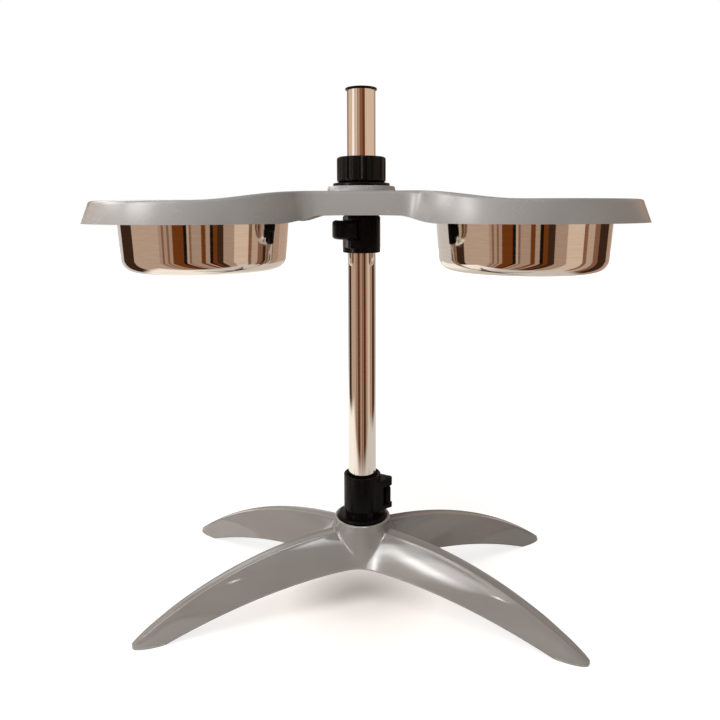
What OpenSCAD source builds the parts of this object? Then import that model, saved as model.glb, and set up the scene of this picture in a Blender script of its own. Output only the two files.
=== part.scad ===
// Feeder stand for two bowls: a four-legged base, a chrome post, two lever clamps
// and a tray that slides and turns on the post.
// Origin on the floor under the post, X along the tray, Y to the back, Z up, millimetres.

/* [Post] */
// Outside diameter of the tube
tube_d = 28; // [27:0.5:29]
// Wall of the tube
tube_wall = 1.5; // [1:0.1:2]
// Length of the tube
tube_len = 460.4; // [440:0.2:480]
// Height of the tube's lower end above the floor
tube_foot = 44; // [40:1:60]
// How far the top cap's flange stands out past the tube
cap_lip = 1.5; // [1:0.1:2.5]
// Height of the top cap's flange
cap_h = 1.8; // [1.4:0.1:4]
// Height of the bottom plug's flange
plug_h = 2; // [1.5:0.1:3]
// Depth that the cap and the plug reach into the tube
plug_depth = 14; // [10:1:20]

/* [Clamps] */
// Wall of the sleeve round the tube
sleeve_wall = 4.5; // [4:0.1:5]
// Length of the sleeve
sleeve_len = 36; // [35:0.5:40]
// Height of the narrow neck between flange and sleeve
neck_h = 5; // [4:0.5:7]
// Wall of the neck
neck_wall = 3.2; // [2.8:0.1:3.8]
// How far the flange stands out past the threaded spigot
flange_lip = 5.8; // [5:0.1:6.4]
// Thickness of the flange
flange_t = 5; // [4:0.5:6]
// Wall of the threaded spigot
spigot_wall = 4.9; // [4.5:0.1:5.4]
// Length of the threaded spigot
spigot_len = 31; // [29:0.5:31.5]
// How far the lever's clevis stands out past the sleeve
lug_out = 11.9; // [11.4:0.1:13]
// Radius of the clevis round the lever's pin
knuckle_r = 4.5; // [4.2:0.1:5]
// Height of the clevis cheek at the flange end
cheek_low = 4; // [3.4:0.1:4.6]
// Height of the clevis cheek at the free end
cheek_high = 7.5; // [6:0.1:8.5]
// Height of the slot that the lever turns in
slot_h = 19; // [17:0.5:20]
// Diameter of the lever's pin
pin_d = 3; // [2.6:0.1:3.4]
// Radius of the lever's cam
cam_r = 4; // [3.6:0.1:4.2]
// How far the cam is off the centre of its pin
cam_throw = 0.4; // [0.3:0.05:0.5]
// Finger gap between the sleeve and the lever's arm
arm_gap = 6; // [5:0.2:6.4]
// Thickness of the lever's arm
arm_t = 4.4; // [3.6:0.2:5]
// Angle that the lever's arm wraps round the sleeve
arm_wrap = 80; // [70:1:90]
// Radius of the rounded outer edges of the lever's arm
arm_round = 3.4; // [2:0.1:4]
// Radius of the lever's thumb end
thumb_r = 3; // [2.6:0.1:3.4]
// Direction of the base clamp's clevis, from the front to the right
base_clamp_turn = 97.5; // [0:0.5:180]
// Direction of the tray clamp's clevis, from the front to the left
tray_clamp_turn = 16; // [0:0.5:90]
// Width of the pressure shoe
shoe_w = 13.6; // [12:0.2:14]

/* [Nuts and washers] */
// Height of a nut
nut_h = 24; // [22:0.5:26]
// Wall of a nut outside the thread
nut_wall = 5; // [4.5:0.1:5.4]
// Number of grip flutes on a nut
flute_n = 14; // [10:1:16]
// Depth of a grip flute
flute_depth = 1.5; // [1:0.1:2]
// Thickness of the lip at a nut's far end
nut_lip_t = 3; // [2:0.5:4]
// Height of the tray's flange washer
tray_washer_t = 4.6; // [4.4:0.1:6]
// How far the tray's washer stands out past its nut
tray_washer_lip = 4; // [3:0.2:5]
// Height of the tray washer's rim
washer_rim_t = 3; // [2:0.1:4]
// Thickness of the base's plain washer
base_washer_t = 3; // [2:0.5:4]

/* [Base] */
// Distance from the post to the tip of a leg
leg_reach = 226; // [210:1:240]
// Angle between a leg and the tray's length
leg_angle = 28; // [25:1:32]
// Height of the legs' crest at the hub
crest_h = 66.5; // [64:0.5:69]
// Height of the crest at the tip
tip_h = 3.6; // [3.4:0.1:5]
// Width of the flat band along the crest
crest_w = 9.5; // [8:0.5:11]
// Half width that a leg would have at the post
leg_root_w = 32; // [30:0.5:34]
// Half width of a leg where its foot starts
foot_w = 8; // [7:0.5:9]
// Length of the flat foot
foot_len = 26; // [22:1:30]
// Height of the lower edge at the hub
arch_h = 41; // [36:1:44]
// Wall of the base
base_wall = 3; // [2.5:0.1:3.5]
// Radius of the hub under its rim
hub_r = 27.5; // [27.2:0.1:29]
// Height of the hub's deck above the floor
deck_z = 75; // [74:0.5:78]
// Thickness of the hub's deck
deck_t = 8; // [7:0.5:9]
// Height of the hub's rim above its deck
rim_h = 2.4; // [1.5:0.1:3.5]
// Diameter of a rubber foot pad
pad_d = 7; // [6:0.5:8]
// Depth that a foot pad sits in its foot
pad_depth = 2; // [1.5:0.1:2.5]
// How far a foot pad stands proud of its foot
pad_proud = 0.6; // [0.4:0.1:1]

/* [Tray] */
// Height of the clamp's seat under the tray
tray_seat = 392.3; // [380:0.1:400]
// Distance from the post to the centre of a bowl
bowl_x = 157; // [150:1:165]
// Radius of a lobe at its top edge
lobe_r = 109; // [106:0.5:112]
// Half width of the waist at its top edge
waist_w = 37; // [36:0.5:42]
// Radius of the fillet between waist and lobe
waist_fillet = 24; // [20:1:30]
// How far the skirt flares outwards
skirt_flare = 6.2; // [4:0.2:8]
// Height of a lobe's top above the clamp's seat
lobe_top = 4.9; // [4:0.1:7]
// How far the bridge rises above the lobes
bridge_rise = 9; // [7:0.5:12]
// Depth of a lobe's skirt
skirt_h = 21; // [18:0.5:24]
// How far the skirt's lower edge rises at the bridge
skirt_rise = 7; // [5:0.2:9]
// Distance from the post where the top starts to rise to the bridge
rise_outer = 137; // [130:1:150]
// Distance from the post where the top reaches the bridge
rise_inner = 48; // [44:1:60]
// Distance from the post where the skirt's lower edge starts to rise
notch_outer = 68; // [60:1:75]
// Distance from the post where the skirt's lower edge is level again
notch_inner = 34; // [30:1:40]
// Radius of the skirt's top edge
edge_r = 3.5; // [2.5:0.5:4.5]
// Wall of the tray
tray_wall = 3; // [2.5:0.1:3.5]
// Width of the seat round a bowl's opening
seat_w = 10; // [9:0.2:10.5]
// Depth of the bowl's seat below the lobe's top
seat_depth = 5; // [4.6:0.1:7]
// Height of the boss under the washer
boss_h = 5; // [4:0.1:6]
// How far the boss stands out past the washer
boss_lip = 5; // [4:0.2:6]
// Wall of the hub round the spigot
tray_hub_wall = 6; // [5:0.2:7]
// Thickness of a rib under the tray
rib_t = 2.4; // [2:0.1:3]
// Distance between the two ribs along the bridge
rib_gap = 36; // [30:1:42]

/* [Bowls] */
// Outside radius of a bowl's rolled rim
bowl_rim_r = 95; // [94:0.2:95.2]
// How far the rim stands out past a bowl's wall
bowl_flange = 11.4; // [10.6:0.2:13]
// How much a bowl's wall narrows on its way down
bowl_taper = 3.2; // [2:0.2:6]
// Radius of the bottom corner
bowl_corner = 13; // [10:1:25]
// Depth of a bowl from rim to floor
bowl_depth = 67; // [60:1:80]
// Thickness of the steel
bowl_wall = 0.9; // [0.7:0.1:1.2]
// Radius of the rolled rim
roll_r = 2; // [1.8:0.1:2.3]

/* [Hidden] */
$fn = 96;

// Clearances
slide_gap = 0.1;     // radial, tube in collar and nut on thread
pin_gap = 0.05;      // radial, lever on pin
lever_gap = 0.2;     // above and below the lever in its slot
cam_gap = 0.15;      // between cam and shoe, and shoe and tube
flange_gap = 0.25;   // radial, flange in the hub's rim
washer_gap = 0.3;    // radial, washer on thread
seat_gap = 0.15;     // tray's hub above the clamp's flange
rest_gap = 0.2;      // bowl above its seat
rim_gap = 1;         // round the bowl's rim in its recess
lip_gap = 0.9;       // radial, nut's lip round the tube
plug_in = 0.2;       // bottom plug inside the tube's outer face
over = 1;            // how far a cutter runs past the face it cuts

// Post and clamp sizes that follow from the tube
tube_r = tube_d / 2;
bore_r = tube_r + slide_gap;
sleeve_r = bore_r + sleeve_wall;
spigot_r = bore_r + spigot_wall;
flange_r = spigot_r + flange_lip;
sleeve_z = flange_t + neck_h;
sleeve_end = sleeve_z + sleeve_len;
slot_z = sleeve_z + cheek_low;
lug_h = cheek_low + slot_h + cheek_high;
lug_r = sleeve_r + lug_out;
lever_h = slot_h - 2 * lever_gap;
pin_y = knuckle_r - lug_r;
shoe_t = -pin_y - tube_r - 2 * cam_gap - cam_r - cam_throw;
arm_r = sleeve_r + arm_gap + arm_t;
window_w = shoe_w + 2 * lever_gap;
nut_r = spigot_r + nut_wall;

// Base sizes
foot_r = leg_reach - foot_len;
leg_drop = crest_h - tip_h;
leg_run = leg_reach - hub_r;
leg_arc_r = (pow(leg_run, 2) + pow(leg_drop, 2)) / (2 * leg_drop);
lean = 0.6;          // share of a leg's side that slopes evenly, the rest is rounded
belly = 2.2;         // how late the rounded share falls away
prow = 0.9;          // how far a foot narrows towards its tip
cone_run = 8.5;      // how far the hub's cone spreads on its way down
cone_bow = 0.8;      // roundness of the hub's cone
fillet = 6.3;        // size of the blend between hub and legs
crest_inset = 0.45;  // how much narrower the crest gets per millimetre of wall
crest_in = 0.5;      // how far a crest runs into the hub
ring_in = 1;         // how far the shell's upper edge runs into the hub
hub_lip = 0.7;       // how far the rim stands out past the hub
hub_spread = 26;     // length of a leg's lower edge that belongs to the hub
hollow_end = 2.8;    // how far the hollow runs into the flat foot
side_soft = 4;       // roundness of the inner corner between legs at the ends
long_soft = 10;      // roundness of the inner corner between legs at front and back
pad_at = foot_r + pad_d;

// Tray sizes
tray_hub_z = tray_seat + seat_gap;
lobe_z = tray_seat + lobe_top;
boss_z = lobe_z + bridge_rise + boss_h;
seat_r = bowl_rim_r + rim_gap;
seat_z = lobe_z - seat_depth;
hole_r = seat_r - seat_w;
boss_r = nut_r + tray_washer_lip + boss_lip;
tray_hub_r = spigot_r + tray_hub_wall;

// Legs run to the four corners: side along X, side along Y
CORNERS = [[-1, -1], [1, -1], [-1, 1], [1, 1]];
GREY = "#8d8a86";
BLACK = "#161616";
CHROME = "#d8d4cf";
STEEL = "#c9c5c0";
RUBBER = "#2b2b2b";

// Smooth step from 0 to 1
function ease(t) = let (c = min(max(t, 0), 1)) c * c * (3 - 2 * c);

// Larger of two heights, with a round blend where they are close
function blend_max(a, b, k) = let (h = max(k - abs(a - b), 0) / k) max(a, b) + h * h * k / 4;

// Legs: crest height, lower edge, half widths at distance r from the post
function crest_z(r) = crest_h - leg_arc_r + sqrt(pow(leg_arc_r, 2) - pow(max(r - hub_r, 0), 2));
function edge_z(r) = max(pad_proud, arch_h * (1 - pow(r / foot_r, 2)));
function half_w(r) = r < foot_r
    ? leg_root_w - (leg_root_w - foot_w) * r / foot_r
    : foot_w * sqrt(1 - prow * pow((r - foot_r) / foot_len, 2));
function crest_half(r) = min(crest_w / 2, half_w(r) / 2);

// Inset skins: half widths and heights of the section, e inside the outer face
function band(r, e) = crest_half(r) - crest_inset * e;
function reach(r, e) = half_w(r) - e;
function side_z(r, l, e) = let (
    top = crest_z(r) - e,
    t = max(l - band(r, e), 0) / (reach(r, e) - band(r, e)))
    top - (top - edge_z(r)) * (lean * t + (1 - lean) * pow(t, belly));
function cone_z(d, e) = deck_z - e
    - (deck_z - arch_h) * pow(max(d - hub_r + e, 0) / cone_run, cone_bow);

// A gap lies between two legs: g is half its angle, s softens its middle line
function gap_z(p, q, g, s, e) = let (
    m = sqrt(q * q + s * s),
    r = p * cos(g) + m * sin(g),
    l = p * sin(g) - m * cos(g))
    blend_max(side_z(r, l, e), cone_z(norm([p, q]), e), fillet);
function gap_point(r, l, g, s) = [
    r * cos(g) + l * sin(g),
    sqrt(max(pow(r * sin(g) - l * cos(g), 2) - s * s, 0))];
function gap_start(g, s, e) = let (k = (leg_root_w - foot_w) / foot_r)
    (s + (leg_root_w - e) * cos(g)) / (sin(g) + k * cos(g));

LEG_N = 16;     // steps along a leg
HUB_N = 6;      // steps round the hub in half a gap
SIDE_N = 6;     // steps down a leg's side

// Half of a gap: for each step from tip to middle, the upper and the lower point in plan
function leg_t(i) = (1 - cos(180 * i / LEG_N)) / 2;
function half_gap(g, s, e) = let (
    tip = e > 0 ? foot_r + hollow_end : leg_reach,
    start = gap_start(g, s, e),
    near = start + hub_spread,
    ring = hub_r - ring_in - e,
    first = hub_r - crest_in,
    in = gap_point(first, band(first, e), g, s),
    a0 = atan2(in[1], in[0]))
    concat(
        [for (i = [0 : LEG_N]) let (
            ru = tip + (first - tip) * leg_t(i),
            rb = tip + (near - tip) * leg_t(i))
            [gap_point(ru, band(ru, e), g, s), gap_point(rb, reach(rb, e), g, s)]],
        [for (i = [1 : HUB_N]) let (
            a = a0 * (1 - i / HUB_N),
            rb = near + (start - near) * i / HUB_N)
            [ring * [cos(a), sin(a)], gap_point(rb, reach(rb, e), g, s)]]);

// One gap's columns of points, from the tip of one leg to the tip of the next
function gap_columns(turn, g, s, e) = let (
    half = half_gap(g, s, e),
    n = len(half),
    lines = concat(
        [for (h = half) [[h[0][0], -h[0][1]], [h[1][0], -h[1][1]]]],
        [for (i = [n - 2 : -1 : 0]) half[i]]))
    [for (h = lines) [for (k = [0 : SIDE_N]) let (
        c = h[0] + (h[1] - h[0]) * k / SIDE_N,
        z = gap_z(c[0], c[1], g, s, e))
        [c[0] * cos(turn) - c[1] * sin(turn), c[0] * sin(turn) + c[1] * cos(turn), z]]];

// Four gaps, in turn to the right, back, left and front
GAPS = [
    [0, leg_angle, side_soft], [90, 90 - leg_angle, long_soft],
    [180, leg_angle, side_soft], [270, 90 - leg_angle, long_soft]];
GAP_COLS = 2 * (LEG_N + HUB_N) + 1;
COLS = 4 * GAP_COLS;
ROWS = SIDE_N + 1;
SKIN = COLS * ROWS;

function skin(e) = [for (gap = GAPS) each [for (col = gap_columns(gap[0], gap[1], gap[2], e)) each col]];
function at(layer, col, row) = layer * SKIN + (col % COLS) * ROWS + row;
function quad(a, b, c, d, flip) = flip ? [[a, c, b], [a, d, c]] : [[a, b, c], [a, c, d]];
function tile(layer, c, d, r) = quad(
    at(layer, c, r), at(layer, d, r), at(layer, d, r + 1), at(layer, c, r + 1), layer == 1);
function strip(layer, a, b) = quad(
    at(layer, a, 0), at(layer, a - 1, 0), at(layer, b + 1, 0), at(layer, b, 0), layer == 1);

// Faces of one skin: its sides and the bands along the four crests
function skin_faces(layer) = concat(
    [for (c = [0 : COLS - 1], r = [0 : ROWS - 2]) each tile(layer, c, c + 1, r)],
    [for (g = [1 : 4], i = [0 : LEG_N - 1]) each strip(layer, g * GAP_COLS - 1 - i, g * GAP_COLS + i)]);

// Ring of columns that runs round the hub
RING = [for (g = [0 : 3], i = [LEG_N : GAP_COLS - 1 - LEG_N]) g * GAP_COLS + i];

module base_shell() {
    points = concat(skin(0), skin(base_wall));
    lip = [for (c = [0 : COLS - 1])
        each quad(at(0, c, SIDE_N), at(0, c + 1, SIDE_N), at(1, c + 1, SIDE_N), at(1, c, SIDE_N), false)];
    top = [for (i = [0 : len(RING) - 1]) let (a = RING[i], b = RING[(i + 1) % len(RING)])
        each quad(at(0, a, 0), at(0, b, 0), at(1, b, 0), at(1, a, 0), true)];
    polyhedron(points, concat(skin_faces(0), skin_faces(1), lip, top));
}

// Deck and upstanding rim that the clamp's flange sits in
module hub_ring() {
    out = hub_r + hub_lip;
    rim_in = flange_r + flange_gap;
    round_r = (out - rim_in) / 2;
    rotate_extrude() {
        translate([spigot_r - over, deck_z - deck_t]) square([hub_r - spigot_r, deck_t]);
        translate([rim_in, deck_z - deck_t]) square([out - rim_in, deck_t + rim_h - round_r]);
        translate([rim_in + round_r, deck_z + rim_h - round_r]) circle(r = round_r, $fn = 32);
    }
}

module at_foot(corner) {
    rotate([0, 0, atan2(corner[1] * sin(leg_angle), corner[0] * cos(leg_angle))])
        translate([pad_at, 0, 0]) children();
}

module base() {
    color(GREY) difference() {
        union() {
            base_shell();
            hub_ring();
        }
        translate([0, 0, deck_z - deck_t - over])
            cylinder(r = spigot_r + slide_gap, h = deck_t + 2 * over);
        for (corner = CORNERS) at_foot(corner)
            translate([0, 0, -over]) cylinder(d = pad_d, h = over + pad_proud + pad_depth);
    }
}

module foot_pad(corner) {
    color(RUBBER) at_foot(corner) {
        cylinder(d1 = pad_d - pad_proud, d2 = pad_d, h = pad_proud / 2);
        translate([0, 0, pad_proud / 2]) cylinder(d = pad_d, h = pad_proud / 2 + pad_depth);
    }
}

// Clamp pieces are drawn seat down, with the clevis to the front, and then put in place
module at_base() { translate([0, 0, deck_z]) rotate([0, 0, base_clamp_turn]) children(); }
module at_tray() { translate([0, 0, tray_seat]) rotate([0, 180, -tray_clamp_turn]) children(); }

module clamp_collar() {
    funnel = 2.7;
    key_w = 6;
    key_turn = -160;
    slot_floor = 1.8;
    soft = 1.2;
    difference() {
        union() {
            rotate_extrude() {
                polygon([
                    [0, 0], [flange_r, 0], [flange_r, flange_t - soft],
                    [flange_r - soft, flange_t], [0, flange_t]]);
                translate([0, -spigot_len]) square([spigot_r, spigot_len + over]);
                square([bore_r + neck_wall, sleeve_z + over]);
                polygon([
                    [0, sleeve_z], [sleeve_r - soft, sleeve_z], [sleeve_r, sleeve_z + soft],
                    [sleeve_r, sleeve_end - soft / 2], [sleeve_r - soft / 2, sleeve_end], [0, sleeve_end]]);
            }
            clevis();
            rotate([0, 0, key_turn]) translate([bore_r, -key_w / 2, flange_t - over])
                cube([sleeve_wall, key_w, neck_h + 2 * over]);
        }
        translate([0, 0, -spigot_len - over]) cylinder(r = bore_r, h = spigot_len + sleeve_end + 2 * over);
        translate([0, 0, sleeve_end - funnel])
            cylinder(r1 = bore_r, r2 = bore_r + funnel + over, h = funnel + over);
        translate([-lug_r, -lug_r - over, slot_z])
            cube([2 * lug_r, lug_r + over - sleeve_r - slot_floor, slot_h]);
        translate([-window_w / 2, -lug_r, slot_z]) cube([window_w, lug_r - bore_r / 2, slot_h]);
        translate([0, pin_y, sleeve_z - over]) cylinder(d = pin_d, h = lug_h + 2 * over);
    }
}

// Tapered block from the sleeve to the round end about the lever's pin
module clevis() {
    sink = 0.2;
    side = acos((sleeve_r - knuckle_r) / -pin_y);
    root = (sleeve_r - sink) * [sin(side), -cos(side)];
    tip = (knuckle_r - sink) * [sin(side), -cos(side)];
    translate([0, pin_y, sleeve_z]) cylinder(r = knuckle_r, h = lug_h);
    translate([0, 0, sleeve_z]) linear_extrude(lug_h) polygon([
        root, [tip[0], pin_y + tip[1]], [-tip[0], pin_y + tip[1]], [-root[0], root[1]]]);
}

// Round body that the lever's arm is cut from, its edges rounded off
module lever_barrel() {
    n = 4;
    edge = arm_r - arm_round;
    cone_h = edge * tan(45 / n);
    arc = [for (i = [0 : n - 1]) arm_round * [cos(90 * i / n), sin(90 * i / n)]];
    rotate_extrude() polygon(concat(
        [[0, lever_h + cone_h], [0, -cone_h]],
        [for (i = [n - 1 : -1 : 0]) [edge + arc[i][0], arm_round - arc[i][1]]],
        [for (p = arc) [edge + p[0], lever_h - arm_round + p[1]]]));
}

module clamp_lever() {
    arm_end = arm_wrap - 90;
    thumb_out = 0.6;
    far = 2 * arm_r;
    translate([0, 0, slot_z + lever_gap]) difference() {
        intersection() {
            linear_extrude(lever_h) {
                translate([0, pin_y + cam_throw]) circle(r = cam_r);
                intersection() {
                    difference() {
                        circle(r = arm_r + over);
                        circle(r = arm_r - arm_t);
                    }
                    polygon([[0, 0], [0, -far], [far, -far], far * [cos(arm_end), sin(arm_end)]]);
                }
                rotate(arm_end) translate([arm_r - thumb_r + thumb_out, 0]) circle(r = thumb_r);
            }
            lever_barrel();
        }
        translate([0, pin_y, -over]) cylinder(d = pin_d + 2 * pin_gap, h = lever_h + 2 * over);
    }
}

module clamp_pin() {
    head_d = pin_d + 2;
    head_h = 1;
    translate([0, pin_y, sleeve_z]) cylinder(d = pin_d, h = lug_h);
    translate([0, pin_y, sleeve_z + lug_h]) cylinder(d1 = head_d, d2 = head_d - 1, h = head_h);
}

module clamp_shoe() {
    back = tube_r + cam_gap + shoe_t;
    translate([0, 0, slot_z + lever_gap]) difference() {
        translate([-shoe_w / 2, -back, 0]) cube([shoe_w, shoe_t + over, lever_h]);
        translate([0, 0, -over]) cylinder(r = tube_r + cam_gap, h = lever_h + 2 * over);
    }
}

// Fluted nut, drawn with its thrust face down
module clamp_nut() {
    top_round = 2.5;
    foot_soft = 0.8;
    flute_r = 3.4;
    flute_at = nut_r + flute_r - flute_depth;
    skirt = 3.5;
    difference() {
        rotate_extrude() {
            difference() {
                union() {
                    polygon([
                        [0, 0], [nut_r - foot_soft, 0], [nut_r, foot_soft], [nut_r, nut_h - top_round],
                        [nut_r - top_round, nut_h - top_round], [nut_r - top_round, nut_h], [0, nut_h]]);
                    translate([nut_r - top_round, nut_h - top_round]) circle(r = top_round, $fn = 48);
                }
                translate([0, -over]) square([spigot_r + slide_gap, nut_h - nut_lip_t + over]);
                translate([0, -over]) square([tube_r + lip_gap, nut_h + 2 * over]);
            }
        }
        for (i = [0 : flute_n - 1]) rotate([0, 0, (i + 0.5) * 360 / flute_n])
            translate([flute_at, 0, skirt]) {
                cylinder(r = flute_r, h = nut_h, $fn = 48);
                sphere(r = flute_r, $fn = 48);
            }
    }
}

module base_collar() { color(BLACK) at_base() clamp_collar(); }
module base_lever() { color(BLACK) at_base() clamp_lever(); }
module base_lever_pin() { color(CHROME) at_base() clamp_pin(); }
module base_shoe() { color(BLACK) at_base() clamp_shoe(); }
module tray_collar() { color(BLACK) at_tray() clamp_collar(); }
module tray_lever() { color(BLACK) at_tray() clamp_lever(); }
module tray_lever_pin() { color(CHROME) at_tray() clamp_pin(); }
module tray_shoe() { color(BLACK) at_tray() clamp_shoe(); }

module base_washer() {
    rim = nut_r - 1;
    color(BLACK) translate([0, 0, deck_z - deck_t - base_washer_t]) difference() {
        cylinder(r = rim, h = base_washer_t);
        translate([0, 0, -over]) cylinder(r = spigot_r + washer_gap, h = base_washer_t + 2 * over);
    }
}

module base_nut() {
    color(BLACK) translate([0, 0, deck_z - deck_t - base_washer_t]) rotate([180, 0, 0]) clamp_nut();
}

module tray_washer() {
    rim = nut_r + tray_washer_lip;
    soft = 1;
    in = spigot_r + washer_gap;
    color(BLACK) translate([0, 0, boss_z]) rotate_extrude() polygon([
        [in, 0], [rim - soft, 0], [rim, soft], [rim, washer_rim_t - soft], [rim - soft, washer_rim_t],
        [nut_r, washer_rim_t + soft], [nut_r - 2 * soft, tray_washer_t], [in, tray_washer_t]]);
}

module tray_nut() { color(BLACK) translate([0, 0, boss_z + tray_washer_t]) clamp_nut(); }

module post_tube() {
    color(CHROME) translate([0, 0, tube_foot]) difference() {
        cylinder(r = tube_r, h = tube_len);
        translate([0, 0, -over]) cylinder(r = tube_r - tube_wall, h = tube_len + 2 * over);
    }
}

// Hollow plug that fills the end of the tube, drawn with its flange on top
module tube_plug(flange_r, flange_h, round_r) {
    out = tube_r - tube_wall;
    wall = 2;
    rotate_extrude() {
        polygon([
            [0, 0], [flange_r, 0], [flange_r, flange_h - round_r],
            [flange_r - round_r, flange_h - round_r / 3], [flange_r - 3 * round_r, flange_h], [0, flange_h]]);
        polygon([
            [out - wall, -plug_depth], [out - wall / 2, -plug_depth], [out, -plug_depth + wall],
            [out, 0], [out - wall, 0]]);
    }
}

module post_cap() {
    edge = 0.9;
    color(BLACK) translate([0, 0, tube_foot + tube_len]) tube_plug(tube_r + cap_lip, cap_h, edge);
}

module post_plug() {
    edge = 0.6;
    color(BLACK) translate([0, 0, tube_foot]) rotate([180, 0, 0]) tube_plug(tube_r - plug_in, plug_h, edge);
}

// Tray: height of its top and of its lower edge along X
function top_z(x) = lobe_z + bridge_rise * ease((rise_outer - abs(x)) / (rise_outer - rise_inner));
function low_z(x) = lobe_z - skirt_h
    + skirt_rise * ease((notch_outer - abs(x)) / (notch_outer - notch_inner));

// Plan of the tray, d outside its top edge: lobe, fillet and half of the waist
FILLET_X = bowl_x - sqrt(pow(lobe_r + waist_fillet, 2) - pow(waist_w + waist_fillet, 2));
FILLET_Y = waist_w + waist_fillet;
FILLET_A = atan2(FILLET_Y, FILLET_X - bowl_x);
LOBE_N = 26;    // steps round half a lobe
BEND_N = 5;     // steps round the fillet
WAIST_N = 2;    // steps along half the waist
function quarter(d) = concat(
    [for (i = [0 : LOBE_N]) let (a = FILLET_A * i / LOBE_N)
        [bowl_x, 0] + (lobe_r + d) * [cos(a), sin(a)]],
    [for (i = [1 : BEND_N]) let (a = FILLET_A + 180 + (90 - FILLET_A) * i / BEND_N)
        [FILLET_X, FILLET_Y] + (waist_fillet - d) * [cos(a), sin(a)]],
    [for (i = [1 : WAIST_N]) [FILLET_X * (1 - i / WAIST_N), waist_w + d]]);

// Back half of the plan from the right end to the left end, then the front half back again
function plan(d) = let (
    q = quarter(d),
    back = concat(q, [for (i = [len(q) - 2 : -1 : 0]) [-q[i][0], q[i][1]]]))
    concat(back, [for (i = [len(back) - 2 : -1 : 1]) [back[i][0], -back[i][1]]]);
function low_ring(d, dz) = [for (p = plan(d)) [p[0], p[1], low_z(p[0]) + dz]];
function top_ring(d, dz) = [for (p = plan(d)) [p[0], p[1], top_z(p[0]) + dz]];

// Solid between rings, closed by strips from front to back
module ring_loft(rings) {
    n = len(rings[0]);
    half = n / 2;
    last = (len(rings) - 1) * n;
    walls = [for (k = [0 : len(rings) - 2], i = [0 : n - 1]) let (j = (i + 1) % n)
        each quad(k * n + i, k * n + j, (k + 1) * n + j, (k + 1) * n + i, true)];
    caps = [for (i = [0 : half - 1]) let (
        a = i,
        b = i + 1,
        c = (n - i - 1) % n,
        d = (n - i) % n,
        low = a == d ? [a, b, c] : b == c ? [a, b, d] : [a, b, c, d])
        each [low, [for (k = [len(low) - 1 : -1 : 0]) last + low[k]]]];
    polyhedron([for (ring = rings) each ring], concat(walls, caps));
}

module tray_block() {
    ring_loft(concat(
        [low_ring(skirt_flare, 0)],
        [for (a = [0 : 30 : 90]) top_ring(edge_r * (cos(a) - 1), edge_r * (sin(a) - 1))]));
}

module tray_cavity() {
    draft = 0.3;
    ring_loft([
        low_ring(skirt_flare - tray_wall + draft, -over),
        top_ring(-tray_wall, -tray_wall)]);
}

module bowl_sites() { for (side = [-1, 1]) translate([side * bowl_x, 0, 0]) children(); }

module tray() {
    cup_wall = 2.5;
    boss_soft = 1;
    color(GREY) difference() {
        union() {
            difference() {
                tray_block();
                difference() {
                    tray_cavity();
                    bowl_sites() translate([0, 0, seat_z - tray_wall])
                        cylinder(r = seat_r + cup_wall, h = boss_z);
                    translate([0, 0, tray_hub_z]) cylinder(r = tray_hub_r, h = boss_z);
                    for (side = [-1, 1]) translate([-bowl_x, (side * rib_gap - rib_t) / 2, tray_hub_z])
                        cube([2 * bowl_x, rib_t, boss_z]);
                    translate([-rib_t / 2, -lobe_r, tray_hub_z]) cube([rib_t, 2 * lobe_r, boss_z]);
                }
            }
            translate([0, 0, tray_hub_z]) cylinder(r = tray_hub_r, h = boss_z - tray_hub_z - boss_soft);
            translate([0, 0, lobe_z + bridge_rise - tray_wall / 2]) rotate_extrude() polygon([
                [0, 0], [boss_r + boss_soft, 0], [boss_r, boss_h + tray_wall / 2 - boss_soft],
                [boss_r - boss_soft, boss_h + tray_wall / 2], [0, boss_h + tray_wall / 2]]);
        }
        bowl_sites() {
            translate([0, 0, seat_z]) cylinder(r = seat_r, h = boss_z);
            cylinder(r = hole_r, h = boss_z);
        }
        translate([0, 0, tray_seat - over]) cylinder(r = spigot_r + slide_gap, h = boss_z);
    }
}

// Bowl: outline of its wall and floor, e inside the outer face, from the middle of the floor to the rim
bowl_top_r = bowl_rim_r - bowl_flange;
bowl_low_r = bowl_top_r - bowl_taper;
bowl_rim_z = seat_z + rest_gap + 2 * roll_r;
bowl_bend = 3;       // radius of the bend from wall to rim
function bowl_outline(e) = let (
    corner = [bowl_low_r - bowl_corner, bowl_rim_z - bowl_depth + bowl_corner],
    bend = [bowl_top_r + bowl_bend, bowl_rim_z - bowl_bend],
    bend_r = bowl_bend - bowl_wall + e)
    concat(
        [[0, bowl_rim_z - bowl_depth + e]],
        [for (a = [-90 : 10 : 0]) corner + (bowl_corner - e) * [cos(a), sin(a)]],
        [for (a = [180 : -15 : 90]) bend + bend_r * [cos(a), sin(a)]],
        [[bowl_rim_r - roll_r, bowl_rim_z - bowl_wall + e]]);

module bowl(side) {
    outer = bowl_outline(0);
    inner = bowl_outline(bowl_wall);
    color(STEEL) translate([side * bowl_x, 0, 0]) rotate_extrude($fn = 128) {
        polygon(concat(outer, [for (i = [len(inner) - 1 : -1 : 0]) inner[i]]));
        translate([bowl_rim_r - roll_r, bowl_rim_z - roll_r]) difference() {
            circle(r = roll_r, $fn = 32);
            circle(r = roll_r - bowl_wall, $fn = 32);
        }
    }
}

base();
foot_pad(CORNERS[0]);  // foot_pad_front_left
foot_pad(CORNERS[1]);  // foot_pad_front_right
foot_pad(CORNERS[2]);  // foot_pad_back_left
foot_pad(CORNERS[3]);  // foot_pad_back_right
base_collar();
base_lever();
base_lever_pin();
base_shoe();
base_washer();
base_nut();
post_tube();
post_cap();
post_plug();
tray();
tray_collar();
tray_lever();
tray_lever_pin();
tray_shoe();
tray_washer();
tray_nut();
bowl(-1);  // bowl_left
bowl(1);  // bowl_right
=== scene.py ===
# Dog feeder stand: fine meshes, finishes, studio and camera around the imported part. Metres.
import math

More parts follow.
